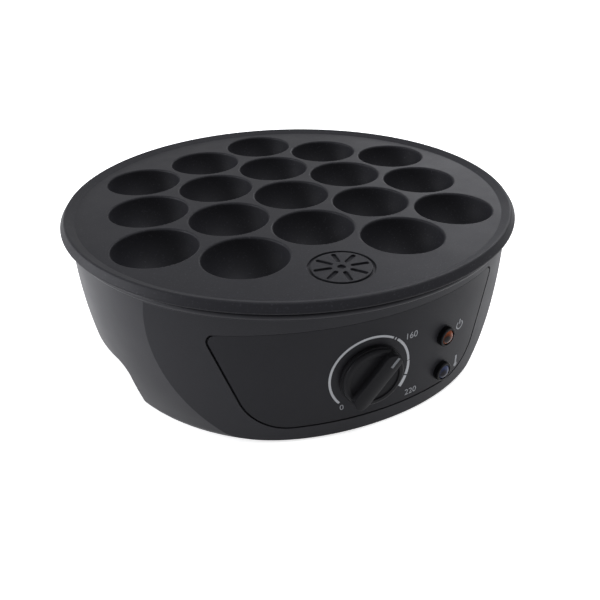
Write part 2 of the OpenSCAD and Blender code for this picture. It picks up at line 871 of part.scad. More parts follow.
module base_cover() {
    color("#1e1e21")
        difference() {
            union() {
                intersection() {
                    cavity(slip_gap);
                    union() {
                        translate([-trough_half, -plate_r, foot_h])
                            cube([2 * trough_half, plate_d, cover_t]);
                        for (s = [0, 1])
                            mirror([s, 0, 0]) {
                                translate([trough_half - cover_t, -plate_r, foot_h])
                                    cube([cover_t, plate_d, shelf_top - foot_h]);
                                translate([trough_half - cover_t, -plate_r, shelf_low])
                                    cube([plate_r - trough_half, plate_d, cover_t]);
                            }
                    }
                }
                translate([block_at[0], block_at[1], foot_h - block_boss_h])
                    cylinder(r = 4, h = block_boss_h + eps);
            }
            for (p = foot_at)
                translate([p[0], p[1], foot_h - eps])
                    cylinder(r = foot_stem_r + seat_gap, h = cover_t + 2 * eps);
            for (p = post_at)
                translate([p[0], p[1], foot_h - eps])
                    cylinder(r = m3_r + seat_gap, h = cover_t + 2 * eps);
            translate([block_at[0], block_at[1], cover_top - block_screw_deep - 0.5])
                cylinder(r = m3_r + run_gap, h = block_screw_deep + 0.5 + eps);
            for (y = vent_y)
                for (k = [0:vent_count - 1])
                    translate([vent_step * (k - (vent_count - 1) / 2) - vent_w / 2 + vent_x,
                        y - vent_l / 2, foot_h - eps])
                        cube([vent_w, vent_l, cover_t + 2 * eps]);
        }
}

module base_screws() {
    color("#9a9da1")
        for (p = post_at)
            translate([p[0], p[1], foot_h])
                screw_up(m3_r, cover_t + post_screw_deep, m3_head_r, m3_head_h);
}

module rubber_feet() {
    foot_r = foot_d / 2;
    color("#151517")
        for (p = foot_at)
            translate([p[0], p[1], 0])
                rotate_extrude() {
                    polygon([[0, 0], [foot_r - 2, 0], [foot_r - 1, 1], [foot_r, foot_h], [0, foot_h]]);
                    square([foot_stem_r, cover_top + eps / 2]);
                    translate([0, cover_top])
                        square([foot_head_r, foot_head_h]);
                }
}

// D-shaped rod or hole along +Z
module d_rod(r, flat, h) {
    intersection() {
        cylinder(r = r, h = h);
        translate([-r - eps, -r - eps, -eps])
            cube([2 * (r + eps), r + eps + flat, h + 2 * eps]);
    }
}

// Turn the dial's pointer to its rest angle
module at_dial() {
    on_front(0, knob_z)
        rotate([0, 0, -knob_rest])
            children();
}

// Slot of the pointer in the grip bar
module pointer_block(grow, top) {
    translate([-pointer_w / 2 - grow, pointer_out - pointer_l - grow, knob_h - pointer_deep - grow])
        cube([pointer_w + 2 * grow, pointer_l + 2 * grow, pointer_deep + grow + top]);
}

module control_knob() {
    face_r = knob_r - 0.6;
    dish_r = face_r - 3;
    color("#18181a")
        at_dial()
            difference() {
                union() {
                    rotate_extrude() {
                        difference() {
                            translate([0, knob_gap])
                                square([face_r - knob_round, knob_skirt_h - knob_gap]);
                            translate([0, knob_skirt_h - 0.7])
                                square([dish_r, 1]);
                        }
                        translate([0, knob_gap])
                            square([face_r, knob_skirt_h - knob_round - knob_gap]);
                        translate([face_r - knob_round, knob_skirt_h - knob_round])
                            circle(knob_round);
                        translate([0, knob_gap])
                            square([knob_r, 2]);
                    }
                    intersection() {
                        translate([0, 0, knob_bar_low])
                            linear_extrude(height = knob_h - knob_bar_low) {
                                translate([-knob_bar_w / 2, -knob_bar_half + knob_bar_w / 2])
                                    square([knob_bar_w, 2 * knob_bar_half - knob_bar_w]);
                                for (s = [-1, 1])
                                    translate([0, s * (knob_bar_half - knob_bar_w / 2)])
                                        circle(knob_bar_w / 2);
                            }
                        translate([0, knob_r, knob_h - knob_crown_r])
                            rotate([90, 0, 0])
                                cylinder(r = knob_crown_r, h = knob_d);
                    }
                }
                translate([0, 0, -eps])
                    cylinder(r = knob_hollow_r, h = knob_hollow + eps);
                d_rod(shaft_r + run_gap, shaft_flat + run_gap, shaft_out + 0.3);
                pointer_block(run_gap, eps);
            }
}

module knob_pointer() {
    color("#d9dadc")
        at_dial()
            pointer_block(0, pointer_proud);
}

module thermostat_shaft() {
    color("#c9cbce")
        at_dial() {
            translate([0, 0, thermo_back + 4])
                cylinder(r = shaft_r, h = knob_hollow - 0.5 - thermo_back - 4);
            translate([0, 0, knob_hollow - 0.5 - eps])
                d_rod(shaft_r, shaft_flat, shaft_out - knob_hollow + 0.5 + eps);
        }
}

module thermostat_body() {
    color("#e4ddcc")
        on_front(0, knob_z)
            difference() {
                union() {
                    translate([-thermo_w / 2, -thermo_h / 2, thermo_back])
                        cube([thermo_w, thermo_h, thermo_deep]);
                    translate([0, 0, thermo_front - eps])
                        cylinder(r = bush_r, h = bush_out - thermo_front + eps);
                }
                translate([0, 0, thermo_back + 3.5])
                    cylinder(r = shaft_r + run_gap, h = bush_out - thermo_back);
            }
}

module thermostat_nut() {
    color("#b4b6b9")
        on_front(0, knob_z)
            difference() {
                cylinder(d = nut_flats / cos(30), h = nut_h, $fn = 6);
                translate([0, 0, -eps])
                    cylinder(r = bush_r + run_gap, h = nut_h + 2 * eps);
            }
}

module thermostat_tabs() {
    color("#c9a55a")
        for (s = [-1, 1])
            translate([s * tab_x - tab_t / 2, tab_end_y - tab_l, tab_z - tab_w / 2])
                cube([tab_t, tab_l, tab_w]);
}

module capillary_sensor() {
    bulb_mid = [pad_at * sin(plate_turn), -pad_at * cos(plate_turn), bulb_z];
    bulb_end = bulb_mid + bulb_half * [cos(plate_turn), sin(plate_turn), 0];
    color("#b87333") {
        translate(bulb_mid)
            rotate([0, 90, plate_turn])
                translate([0, 0, -bulb_half])
                    cylinder(r = bulb_r, h = 2 * bulb_half);
        lead([bulb_end - [2, 0, 0], [capillary_x, capillary_y, bulb_z - 4],
            [capillary_x, capillary_y, knob_z + thermo_h / 2]], capillary_r);
    }
}

module sensor_clip() {
    color("#b9bcc0")
        polar(plate_turn, pad_at)
            translate([0, 0, pad_low])
                saddle_clip(bulb_r);
}

module sensor_screws() {
    color("#9a9da1")
        polar(plate_turn, pad_at)
            clip_holes(bulb_r)
                translate([0, 0, pad_low - clip_t])
                    screw_up(m3_r, clip_t + clip_screw_deep - 0.5, m3_head_r, m3_head_h);
}

// Clear lens: a hollow tube with a domed front
module lamp_lens() {
    dome_h = 2;
    dome_r = (lamp_r * lamp_r + dome_h * dome_h) / (2 * dome_h);
    difference() {
        union() {
            translate([0, 0, -lamp_deep])
                cylinder(r = lamp_r, h = lamp_deep + lamp_proud - dome_h);
            intersection() {
                translate([0, 0, lamp_proud - dome_r])
                    sphere(r = dome_r);
                translate([0, 0, lamp_proud - dome_h - 0.5])
                    cylinder(r = lamp_r, h = dome_h + 1);
            }
        }
        translate([0, 0, -lamp_deep - eps])
            cylinder(r = lamp_r - lamp_tube, h = lamp_deep + eps + lamp_proud - dome_h - 0.4);
    }
}

module power_lamp_lens() {
    color("#d0541c", 0.8)
        on_front(lamp_x, lamp_heights[0])
            lamp_lens();
}

module heat_lamp_lens() {
    color("#2b46c8", 0.8)
        on_front(lamp_x, lamp_heights[1])
            lamp_lens();
}

module lamp_bezels() {
    color("#0f0f10")
        for (z = lamp_heights)
            on_front(lamp_x, z)
                rotate_extrude() {
                    translate([bezel_in, -bezel_deep])
                        square([bezel_out - bezel_in, bezel_deep + bezel_h]);
                    translate([bezel_in, 0])
                        square([bezel_flange_r - bezel_in, bezel_h - bezel_round]);
                    translate([bezel_in, 0])
                        square([bezel_flange_r - bezel_in - bezel_round, bezel_h]);
                    translate([bezel_flange_r - bezel_round, bezel_h - bezel_round])
                        circle(bezel_round);
                }
}

module lamp_retainers() {
    color("#8e9196")
        for (z = lamp_heights)
            on_front(lamp_x, z)
                translate([0, 0, -retainer_top - retainer_h])
                    ring(retainer_r, bezel_out + run_gap, retainer_h);
}

module neon_bulbs() {
    color("#f0e6da", 0.7)
        for (z = lamp_heights)
            on_front(lamp_x, z)
                translate([0, 0, -lamp_deep + plug_h]) {
                    cylinder(r = neon_r, h = lamp_deep - plug_h - neon_r);
                    translate([0, 0, lamp_deep - plug_h - neon_r])
                        sphere(r = neon_r * 0.98);
                }
}

module lamp_plugs() {
    color("#33343a")
        for (z = lamp_heights)
            on_front(lamp_x, z)
                translate([0, 0, -lamp_deep])
                    cylinder(r = lamp_r - lamp_tube - run_gap, h = plug_h);
}

module terminal_block() {
    color("#e9e6dd")
        difference() {
            translate([block_at[0] - block_size[0] / 2, block_front, cover_top])
                cube(block_size);
            translate([block_at[0], block_at[1], cover_top - eps])
                cylinder(r = m3_r + seat_gap, h = block_size[2] + 2 * eps);
            translate([block_at[0], block_at[1], cover_top + block_size[2] - block_recess])
                cylinder(r = m3_head_r + 0.4, h = block_recess + eps);
            for (x = block_pole_x) {
                translate([x, block_at[1], cover_top + block_size[2] - 5])
                    cylinder(r = 2, h = 5 + eps);
                translate([x, block_front + block_size[1] + eps, block_lead_z])
                    rotate([90, 0, 0])
                        cylinder(r = 1.8, h = block_size[1] / 2 + eps);
            }
        }
}

module terminal_screw() {
    seat = cover_top + block_size[2] - block_recess;
    color("#9a9da1")
        translate([block_at[0], block_at[1], seat])
            mirror([0, 0, 1])
                screw_up(m3_r, seat - cover_top + block_screw_deep, m3_head_r, m3_head_h);
}

module cord_gland() {
    color("#141416")
        translate([0, gland_end, gland_z])
            rotate([-90, 0, 0])
                rotate_extrude()
                    difference() {
                        union() {
                            square([gland_out_r, gland_seat + gland_flange_t - gland_end]);
                            translate([0, gland_seat - gland_end])
                                square([gland_flange_r, gland_flange_t]);
                        }
                        translate([0, -eps])
                            square([gland_r, gland_seat + gland_flange_t - gland_end + 2 * eps]);
                    }
}

module gland_nut() {
    color("#2a2a2d")
        translate([0, gland_back - gland_nut_t, gland_z])
            rotate([-90, 0, 0])
                difference() {
                    cylinder(r = gland_flange_r + 0.6, h = gland_nut_t, $fn = 6);
                    translate([0, 0, -eps])
                        cylinder(r = gland_out_r + run_gap, h = gland_nut_t + 2 * eps);
                }
}

module thermal_fuse() {
    color("#d7d3c6")
        translate([fuse_at[0], fuse_at[1] - fuse_half, fuse_z])
            rotate([-90, 0, 0])
                cylinder(r = fuse_r, h = 2 * fuse_half);
}

module fuse_clip() {
    color("#b9bcc0")
        translate([fuse_at[0], fuse_at[1], shield_low])
            rotate([0, 0, 90])
                saddle_clip(fuse_r);
}

module fuse_rivets() {
    color("#aeb2b6")
        translate([fuse_at[0], fuse_at[1], shield_low])
            rotate([0, 0, 90])
                clip_holes(fuse_r) {
                    translate([0, 0, -clip_t - rivet_head_h])
                        cylinder(r = 2 * rivet_r, h = rivet_head_h);
                    translate([0, 0, -clip_t - rivet_head_h / 2])
                        cylinder(r = rivet_r, h = clip_t + shield_t + rivet_head_h);
                    translate([0, 0, shield_t])
                        cylinder(r = 2 * rivet_r, h = rivet_head_h);
                }
}

module main_leads() {
    color("#e8e8e6")
        for (route = lead_routes)
            lead(route, lead_r);
}

module lamp_leads() {
    color("#d9d9d6")
        for (route = lamp_routes)
            lead(route, lead_r);
}

cooking_plate();
heating_element();
heater_terminals();
heater_clamps();
heat_shield();
shield_spacers();
shield_screws();
plate_screws();
body_shell();
control_panel();
base_cover();
base_screws();
rubber_feet();
control_knob();
knob_pointer();
thermostat_shaft();
thermostat_body();
thermostat_nut();
thermostat_tabs();
capillary_sensor();
sensor_clip();
sensor_screws();
power_lamp_lens();
heat_lamp_lens();
lamp_bezels();
lamp_retainers();
neon_bulbs();
lamp_plugs();
terminal_block();
terminal_screw();
cord_gland();
gland_nut();
thermal_fuse();
fuse_clip();
fuse_rivets();
main_leads();
lamp_leads();
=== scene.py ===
# %% [markdown]
# # A round ball-cake cooker
#
# The object is a countertop cooker: a cast plate of ball cups on a moulded body, with a dial and two lamps
# on its flatter front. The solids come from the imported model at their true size. This lesson sets the
# camera and the light, gives every solid its finish, and prints the scale round the dial.

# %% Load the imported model
import json
import math

import bmesh
import bpy
from mathutils import Matrix, Vector


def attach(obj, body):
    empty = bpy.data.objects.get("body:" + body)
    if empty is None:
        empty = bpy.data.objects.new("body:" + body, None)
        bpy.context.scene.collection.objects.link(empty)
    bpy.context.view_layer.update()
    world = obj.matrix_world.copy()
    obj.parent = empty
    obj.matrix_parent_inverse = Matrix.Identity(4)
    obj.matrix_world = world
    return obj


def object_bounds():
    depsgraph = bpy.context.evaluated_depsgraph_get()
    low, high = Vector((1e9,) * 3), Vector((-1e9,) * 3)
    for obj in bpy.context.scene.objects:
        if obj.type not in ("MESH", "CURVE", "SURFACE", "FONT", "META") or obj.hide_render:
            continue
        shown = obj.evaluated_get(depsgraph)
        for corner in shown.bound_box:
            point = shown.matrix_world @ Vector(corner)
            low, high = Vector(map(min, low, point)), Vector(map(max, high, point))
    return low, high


MM = 0.001

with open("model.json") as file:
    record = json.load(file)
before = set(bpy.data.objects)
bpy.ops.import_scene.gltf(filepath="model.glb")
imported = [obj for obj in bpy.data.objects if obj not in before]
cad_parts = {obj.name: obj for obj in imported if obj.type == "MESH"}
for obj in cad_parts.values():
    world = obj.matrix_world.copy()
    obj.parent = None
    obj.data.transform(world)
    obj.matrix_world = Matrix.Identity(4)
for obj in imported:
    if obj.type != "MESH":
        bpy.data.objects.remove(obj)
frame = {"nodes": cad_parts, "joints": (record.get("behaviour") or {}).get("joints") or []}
cad_low, cad_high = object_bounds()
nodes = frame["nodes"]
scene = bpy.context.scene
print(f"{len(nodes)} solids, {(cad_high - cad_low) / MM} mm over all")

# %% [markdown]
# ## The camera
#
# The cooker is seen from its left front, about thirty degrees above the table. The far rim of the plate
# looks clearly smaller than the near one, so the camera stands close, at about two hand spans. A small
# sideways shift puts the cooker left of the picture's middle without turning the camera.

# %% Place the camera
CAMERA_PLACE = Vector((-115.3, -323.0, 226.3)) * MM
CAMERA_AIM = Vector((7.5, -41.5, 38.5)) * MM
CAMERA_LENS = 37.67
CAMERA_SHIFT = -0.053

camera_data = bpy.data.cameras.new("camera")
camera_data.lens = CAMERA_LENS
camera_data.shift_x = CAMERA_SHIFT
camera = bpy.data.objects.new("camera", camera_data)
camera.location = CAMERA_PLACE
camera.rotation_euler = (CAMERA_AIM - CAMERA_PLACE).to_track_quat("-Z", "Y").to_euler()
scene.collection.objects.link(camera)
scene.camera = camera
scene.view_settings.view_transform = "Standard"
print(f"camera {(CAMERA_AIM - CAMERA_PLACE).length / MM:.0f} mm from its aim")

# %% [markdown]
# ## Two helpers for materials
#
# A material is a tree of nodes. One function adds any node, sets its properties and fills or links its
# inputs, so each finish below reads as a short list. Colours are written as the hex codes that a paint
# program shows, and one function turns them into the linear values that Blender calculates with.


# %% Add a node, and read a colour
def hex_colour(code):
    """Turn an sRGB hex code into a linear colour."""
    channels = [int(code[i:i + 2], 16) / 255 for i in (1, 3, 5)]
    linear = [c / 12.92 if c <= 0.04045 else ((c + 0.055) / 1.055) ** 2.4 for c in channels]
    return (*linear, 1.0)


def add_node(tree, kind, inputs=None, **settings):
    """Add a node, set its properties, and fill or link its inputs."""
    node = tree.nodes.new("ShaderNode" + kind)
    for name, value in settings.items():
        setattr(node, name, value)
    for name, value in (inputs or {}).items():
        if isinstance(value, bpy.types.NodeSocket):
            tree.links.new(value, node.inputs[name])
        else:
            node.inputs[name].default_value = value
    return node


print("mid grey in linear light:", hex_colour("#808080")[0])

# %% [markdown]
# ## The table and the backdrop
#
# The picture has a plain white ground. A wide floor with a matt white paint gives it and keeps the soft
# shadow under the feet. The floor glows a little for the camera and for mirror rays, so that it reads as
# white without more light on the cooker, and the world does the same above the floor.

# %% Make the floor and the world
FLOOR_HALF_M = 6.0
FLOOR_WHITE = "#F2F2F2"
FLOOR_GLOW = 0.7
WORLD_LIGHT = 0.36
WHITE = (1, 1, 1, 1)


def seen_directly(tree):
    """Tell camera, mirror and glass rays from the rays that carry light."""
    path = add_node(tree, "LightPath").outputs
    seen = path["Is Camera Ray"]
    for ray in ("Is Glossy Ray", "Is Transmission Ray"):
        seen = add_node(tree, "Math", {0: seen, 1: path[ray]}, operation="MAXIMUM").outputs[0]
    return seen


def white_floor_paint():
    """Matt white emulsion: no gloss, only the shade that falls on it."""
    material = bpy.data.materials.new("matt_white_emulsion")
    material.use_nodes = True
    tree = material.node_tree
    shader = tree.nodes["Principled BSDF"]
    shader.inputs["Base Color"].default_value = hex_colour(FLOOR_WHITE)
    shader.inputs["Roughness"].default_value = 1.0
    shader.inputs["Specular IOR Level"].default_value = 0.0
    shader.inputs["Emission Color"].default_value = WHITE
    glow = add_node(tree, "Math", {0: seen_directly(tree), 1: FLOOR_GLOW}, operation="MULTIPLY")
    tree.links.new(glow.outputs[0], shader.inputs["Emission Strength"])
    return material


floor_mesh = bpy.data.meshes.new("floor")
floor_corners = [
    (x * FLOOR_HALF_M, y * FLOOR_HALF_M, cad_low.z) for x, y in ((-1, -1), (1, -1), (1, 1), (-1, 1))
]
floor_mesh.from_pydata(floor_corners, [], [(0, 1, 2, 3)])
floor_mesh.materials.append(white_floor_paint())
floor = bpy.data.objects.new("floor", floor_mesh)
scene.collection.objects.link(floor)

world = bpy.data.worlds.new("studio")
world.use_nodes = True
scene.world = world
sky = world.node_tree.nodes["Background"]
sky.inputs["Color"].default_value = WHITE
level = add_node(
    world.node_tree,
    "MapRange",
    {"Value": seen_directly(world.node_tree), "To Min": WORLD_LIGHT, "To Max": 1.0},
)
world.node_tree.links.new(level.outputs["Result"], sky.inputs["Strength"])
print("floor at", cad_low.z, "m, world light", WORLD_LIGHT)

# %% [markdown]
# ## The light
#
# The left flank of the body is the brightest side and the front is dark, so the main softbox stands on the
# left and a little behind. A wide one hangs overhead, further right, for the plate and for the shadow under
# the rim. A weak one at the back right gives the plate its sheen there and lifts the outline.

# %% Hang the softboxes
COOL_WHITE = "#F8F9FF"
PLATE_MIDDLE = Vector((0, 0, 0.06))


def softbox(name, place, width, height, power):
    """A square-edged studio light, given in metres and watts, facing the plate."""
    light = bpy.data.lights.new(name, "AREA")
    light.shape = "RECTANGLE"
    light.size = width
    light.size_y = height
    light.energy = power
    light.color = hex_colour(COOL_WHITE)[:3]
    lamp = bpy.data.objects.new(name, light)
    lamp.location = place
    lamp.rotation_euler = (PLATE_MIDDLE - lamp.location).to_track_quat("-Z", "Y").to_euler()
    scene.collection.objects.link(lamp)


softbox("left_softbox", (-1.45, 0.5, 0.48), width=1.0, height=0.7, power=26)
softbox("top_softbox", (0.6, 0.0, 1.8), width=2.0, height=1.6, power=32)
softbox("right_softbox", (1.0, 1.0, 0.6), width=0.7, height=0.5, power=5)

# %% [markdown]
# ## Starting a finish
#
# Every finish starts in the same way: a named material, the values that are the same all over set on the
# shader itself, and the object's own coordinates for the patterns. Those are in metres, so the scale of a
# pattern comes straight from the size of its grain in millimetres.


# %% Start a material
def start_finish(name, **constants):
    """Start a material: return it, its tree, its shader and the coordinates its patterns use."""
    material = bpy.data.materials.new(name)
    material.use_nodes = True
    tree = material.node_tree
    shader = tree.nodes["Principled BSDF"]
    for socket, value in constants.items():
        shader.inputs[socket.replace("_", " ")].default_value = value
    return material, tree, shader, add_node(tree, "TexCoord").outputs["Object"]


def grains_per_metre(size_mm):
    """The texture scale at which one grain of a pattern is that wide."""
    return 1 / (size_mm * MM)


def give(material, *names):
    """Give CAD nodes a material in place of the one they were packed with."""
    for name in names:
        nodes[name].data.materials.clear()
        nodes[name].data.materials.append(material)


print("a 0.5 mm grain has scale", grains_per_metre(0.5))

# %% [markdown]
# ## The cooking plate
#
# The plate is die-cast aluminium, blasted and sprayed with a dark non-stick coat that is baked on. The
# spray leaves a faint orange peel, the coat holds fine mineral flecks, and the gloss is an even satin. A
# flat grey would look like card: the flecks and the changing gloss make it read as a coat. Cast edges are
# never quite sharp, and a bevel node rounds the light on them without a change of the solid.

# %% Non-stick coat on cast aluminium
COAT_GREY = "#1E1E21"
COAT_FLECK = "#2F2F33"
COAT_ROUGHNESS = (0.46, 0.58)
COAT_EDGE_MM = 0.5
EDGE_SAMPLES = 6
FLECK_MM = 0.9
FLECK_FROM, FLECK_FULL = 0.6, 0.75
PEEL_MM = 1.6
PEEL_DEEP_MM = 0.05
PEEL_STRENGTH = 0.25
PATCH_MM = 14


def nonstick_coat():
    """Sprayed fluoropolymer: dark satin grey. The flecks are drawn at twice their size so that they show."""
    material, tree, shader, place = start_finish(
        "nonstick_coat_on_cast_aluminium", IOR=1.42, Specular_IOR_Level=0.1
    )
    fleck = add_node(tree, "TexNoise", {"Vector": place, "Scale": grains_per_metre(FLECK_MM), "Detail": 2})
    sparse = add_node(
        tree,
        "MapRange",
        {"Value": fleck.outputs["Fac"], "From Min": FLECK_FROM, "From Max": FLECK_FULL},
    )
    tone = add_node(
        tree,
        "MixRGB",
        {
            "Fac": sparse.outputs["Result"],
            "Color1": hex_colour(COAT_GREY),
            "Color2": hex_colour(COAT_FLECK),
        },
    )
    tree.links.new(tone.outputs["Color"], shader.inputs["Base Color"])
    patch = add_node(tree, "TexNoise", {"Vector": place, "Scale": grains_per_metre(PATCH_MM), "Detail": 3})
    satin = add_node(
        tree,
        "MapRange",
        {"Value": patch.outputs["Fac"], "To Min": COAT_ROUGHNESS[0], "To Max": COAT_ROUGHNESS[1]},
    )
    tree.links.new(satin.outputs["Result"], shader.inputs["Roughness"])
    edge = add_node(tree, "Bevel", {"Radius": COAT_EDGE_MM * MM}, samples=EDGE_SAMPLES)
    peel = add_node(tree, "TexNoise", {"Vector": place, "Scale": grains_per_metre(PEEL_MM), "Detail": 1})
    bump = add_node(
        tree,
        "Bump",
        {
            "Strength": PEEL_STRENGTH,
            "Distance": PEEL_DEEP_MM * MM,
            "Height": peel.outputs["Fac"],
            "Normal": edge.outputs["Normal"],
        },
    )
    tree.links.new(bump.outputs["Normal"], shader.inputs["Normal"])
    return material


give(nonstick_coat(), "cooking_plate")
print("plate coated")

# %% [markdown]
# ## The moulded body
#
# The body is injection-moulded ABS. The steel mould was spark eroded, which prints a fine even grain on
# the plastic: it breaks the highlights into a soft satin. The panel in the front comes from a smoother
# mould, and the knob from a smoother one still. The base cover, the lamps' rings and the cord's gland are
# other plastics moulded in the same way, so they all share one recipe with other values.

# %% Spark-eroded ABS and the other mouldings
MOULD_EDGE_MM = 0.25
MOULD_STRENGTH = 0.35
HANDLING_MM = 22
HANDLING_ROUGHNESS = 0.06


def moulded_black(name, grey, pale_grey, grain_mm, grain_deep_mm, roughness, shine=0.13):
    """Black plastic with the grain of its mould. The grain is drawn coarser than the real 0.2 mm to show."""
    material, tree, shader, place = start_finish(name, IOR=1.48, Specular_IOR_Level=shine)
    grain = add_node(tree, "TexNoise", {"Vector": place, "Scale": grains_per_metre(grain_mm), "Detail": 2})
    tone = add_node(
        tree,
        "MixRGB",
        {"Fac": grain.outputs["Fac"], "Color1": hex_colour(grey), "Color2": hex_colour(pale_grey)},
    )
    tree.links.new(tone.outputs["Color"], shader.inputs["Base Color"])
    handling = add_node(
        tree, "TexNoise", {"Vector": place, "Scale": grains_per_metre(HANDLING_MM), "Detail": 3}
    )
    satin = add_node(
        tree,
        "MapRange",
        {
            "Value": handling.outputs["Fac"],
            "To Min": roughness - HANDLING_ROUGHNESS,
            "To Max": roughness + HANDLING_ROUGHNESS,
        },
    )
    tree.links.new(satin.outputs["Result"], shader.inputs["Roughness"])
    edge = add_node(tree, "Bevel", {"Radius": MOULD_EDGE_MM * MM}, samples=EDGE_SAMPLES)
    bump = add_node(
        tree,
        "Bump",
        {
            "Strength": MOULD_STRENGTH,
            "Distance": grain_deep_mm * MM,
            "Height": grain.outputs["Fac"],
            "Normal": edge.outputs["Normal"],
        },
    )
    tree.links.new(bump.outputs["Normal"], shader.inputs["Normal"])
    return material


# The body's grain scatters the light from the left into a broad sheen
body_abs = moulded_black(
    "abs_spark_eroded", "#1F1F22", "#27272B", grain_mm=0.5, grain_deep_mm=0.04, roughness=0.46, shine=0.15
)
give(body_abs, "body_shell")
# The panel is smoother and shows less of the white table
panel_abs = moulded_black(
    "abs_satin", "#212124", "#29292C", grain_mm=0.4, grain_deep_mm=0.03, roughness=0.42, shine=0.085
)
give(panel_abs, "control_panel")
# The knob is the darkest large piece, with small tight glints on its edges
knob_abs = moulded_black(
    "abs_fine_satin", "#1A1A1C", "#202022", grain_mm=0.35, grain_deep_mm=0.02, roughness=0.36, shine=0.06
)
give(knob_abs, "control_knob")
# The base cover's coarse grain looks almost matt
base_polypropylene = moulded_black(
    "polypropylene_grained", "#17171A", "#222225", grain_mm=0.9, grain_deep_mm=0.06, roughness=0.55
)
give(base_polypropylene, "base_cover")
# The rings round the lamps come from a polished mould and shine
ring_nylon = moulded_black(
    "nylon_gloss", "#0C0C0E", "#121214", grain_mm=0.8, grain_deep_mm=0.01, roughness=0.3, shine=0.06
)
give(ring_nylon, "lamp_bezels")
# The gland and its nut are plain black nylon
gland_nylon = moulded_black(
    "nylon_satin", "#111113", "#1A1A1C", grain_mm=0.6, grain_deep_mm=0.03, roughness=0.5
)
give(gland_nylon, "cord_gland", "gland_nut")
print("plastics moulded")

# %% [markdown]
# ## The metal pieces
#
# The screws, the heating tube and the sheet-metal pieces are small or lie inside. They share one recipe of
# two close tones, a mottle in the gloss and a fine bump, and each metal has its own real values. A metal
# keeps the default index of refraction, because its colour already says how it mirrors.

# %% Plated, drawn and turned metals
GLOSS_SWING = 0.2
BUMP_STRENGTH = 0.3
ZINC_PIECES = (
    "plate_screws",
    "shield_screws",
    "sensor_screws",
    "base_screws",
    "terminal_screw",
    "heater_clamps",
    "shield_spacers",
    "sensor_clip",
    "fuse_clip",
    "thermostat_nut",
    "lamp_retainers",
)


def plain_finish(name, tone, other_tone, grain_mm, roughness, metallic=0.0, bump_mm=0.02, **constants):
    """Two close tones in the grain of the real surface, with its gloss and a fine bump."""
    material, tree, shader, place = start_finish(name, Metallic=metallic, **constants)
    grain = add_node(tree, "TexNoise", {"Vector": place, "Scale": grains_per_metre(grain_mm), "Detail": 4})
    mixed = add_node(
        tree,
        "MixRGB",
        {"Fac": grain.outputs["Fac"], "Color1": hex_colour(tone), "Color2": hex_colour(other_tone)},
    )
    tree.links.new(mixed.outputs["Color"], shader.inputs["Base Color"])
    gloss = add_node(
        tree,
        "MapRange",
        {
            "Value": grain.outputs["Fac"],
            "To Min": roughness * (1 - GLOSS_SWING),
            "To Max": roughness * (1 + GLOSS_SWING),
        },
    )
    tree.links.new(gloss.outputs["Result"], shader.inputs["Roughness"])
    bump = add_node(
        tree,
        "Bump",
        {"Strength": BUMP_STRENGTH, "Distance": bump_mm * MM, "Height": grain.outputs["Fac"]},
    )
    tree.links.new(bump.outputs["Normal"], shader.inputs["Normal"])
    return material


# Each row: name, two tones, grain in millimetres, roughness, pieces
metals = (
    # Zinc plating is a cool grey, half bright
    ("zinc_plated_steel", "#B9BCBE", "#A3A6A6", 1.2, 0.32, ZINC_PIECES),
    # The tube's sheath is browned by its own heat
    ("stainless_heater_sheath", "#6E675E", "#565049", 3, 0.42, ("heating_element",)),
    # Sheet dipped in aluminium has a broad soft spangle
    ("aluminised_steel_sheet", "#A9ABAA", "#939594", 4, 0.38, ("heat_shield",)),
    # Headed aluminium is the palest metal here
    ("aluminium_rivet", "#C9CBCC", "#B7B9BA", 1, 0.3, ("fuse_rivets",)),
    # A turned shaft is bright, with fine tool marks
    ("turned_steel_shaft", "#A7A9AB", "#8F9193", 0.5, 0.28, ("thermostat_shaft",)),
    # Stamped brass is yellow and bright
    ("stamped_brass", "#C9A75A", "#B8964B", 1, 0.33, ("thermostat_tabs",)),
    # Drawn copper is red and smooth
    ("drawn_copper", "#C27A55", "#A96544", 1.5, 0.3, ("capillary_sensor",)),
    # The fuse's drawn can has the colour of straw
    ("fuse_can", "#B7A67B", "#A69567", 1, 0.3, ("thermal_fuse",)),
)
for name, tone, other_tone, grain_mm, roughness, pieces in metals:
    give(plain_finish(name, tone, other_tone, grain_mm, roughness, metallic=1.0), *pieces)
print(len(metals), "metals finished")

# %% [markdown]
# ## Ceramic, rubber, glass and wire
#
# The last small pieces aren't metal: the tube's ceramic ends, the rubber feet, the pointer, the blocks and
# the leads. The same recipe serves them. The lamps' bulbs are clear glass, so light passes through them.

# %% Fired, moulded and woven pieces
# Each row: name, two tones, grain in millimetres, roughness, pieces
small_pieces = (
    # Fired steatite is cream and half matt
    ("steatite_ceramic", "#E4DCCB", "#D8CFBB", 2, 0.5, ("heater_terminals",)),
    # Thin pale ink on black nylon reads as a mid grey
    ("pad_printed_nylon", "#5E6165", "#535659", 0.6, 0.45, ("knob_pointer",)),
    # Pressed phenolic is brown black
    ("phenolic_moulding", "#2A2320", "#352C28", 1.5, 0.45, ("thermostat_body",)),
    # Natural polyamide is off-white and even
    ("polyamide_block", "#E6E2D6", "#DBD6C8", 1, 0.5, ("terminal_block", "lamp_plugs")),
    # The sleeves' weave is pale and dull
    ("glass_fibre_sleeve", "#D9D6CC", "#C6C2B5", 0.4, 0.75, ("main_leads", "lamp_leads")),
)
for name, tone, other_tone, grain_mm, roughness, pieces in small_pieces:
    give(plain_finish(name, tone, other_tone, grain_mm, roughness), *pieces)

# Moulded rubber is the dullest black, with a deeper grain
foot_rubber = plain_finish("epdm_rubber", "#1B1B1C", "#252526", 0.8, 0.8, bump_mm=0.05)
give(foot_rubber, "rubber_feet")
# Drawn glass is clear and sharp
bulb_glass = plain_finish(
    "soda_lime_glass", "#F4F4F2", "#ECECE8", 2, 0.06, Transmission_Weight=1.0, IOR=1.52
)
give(bulb_glass, "neon_bulbs")
print("small pieces finished")

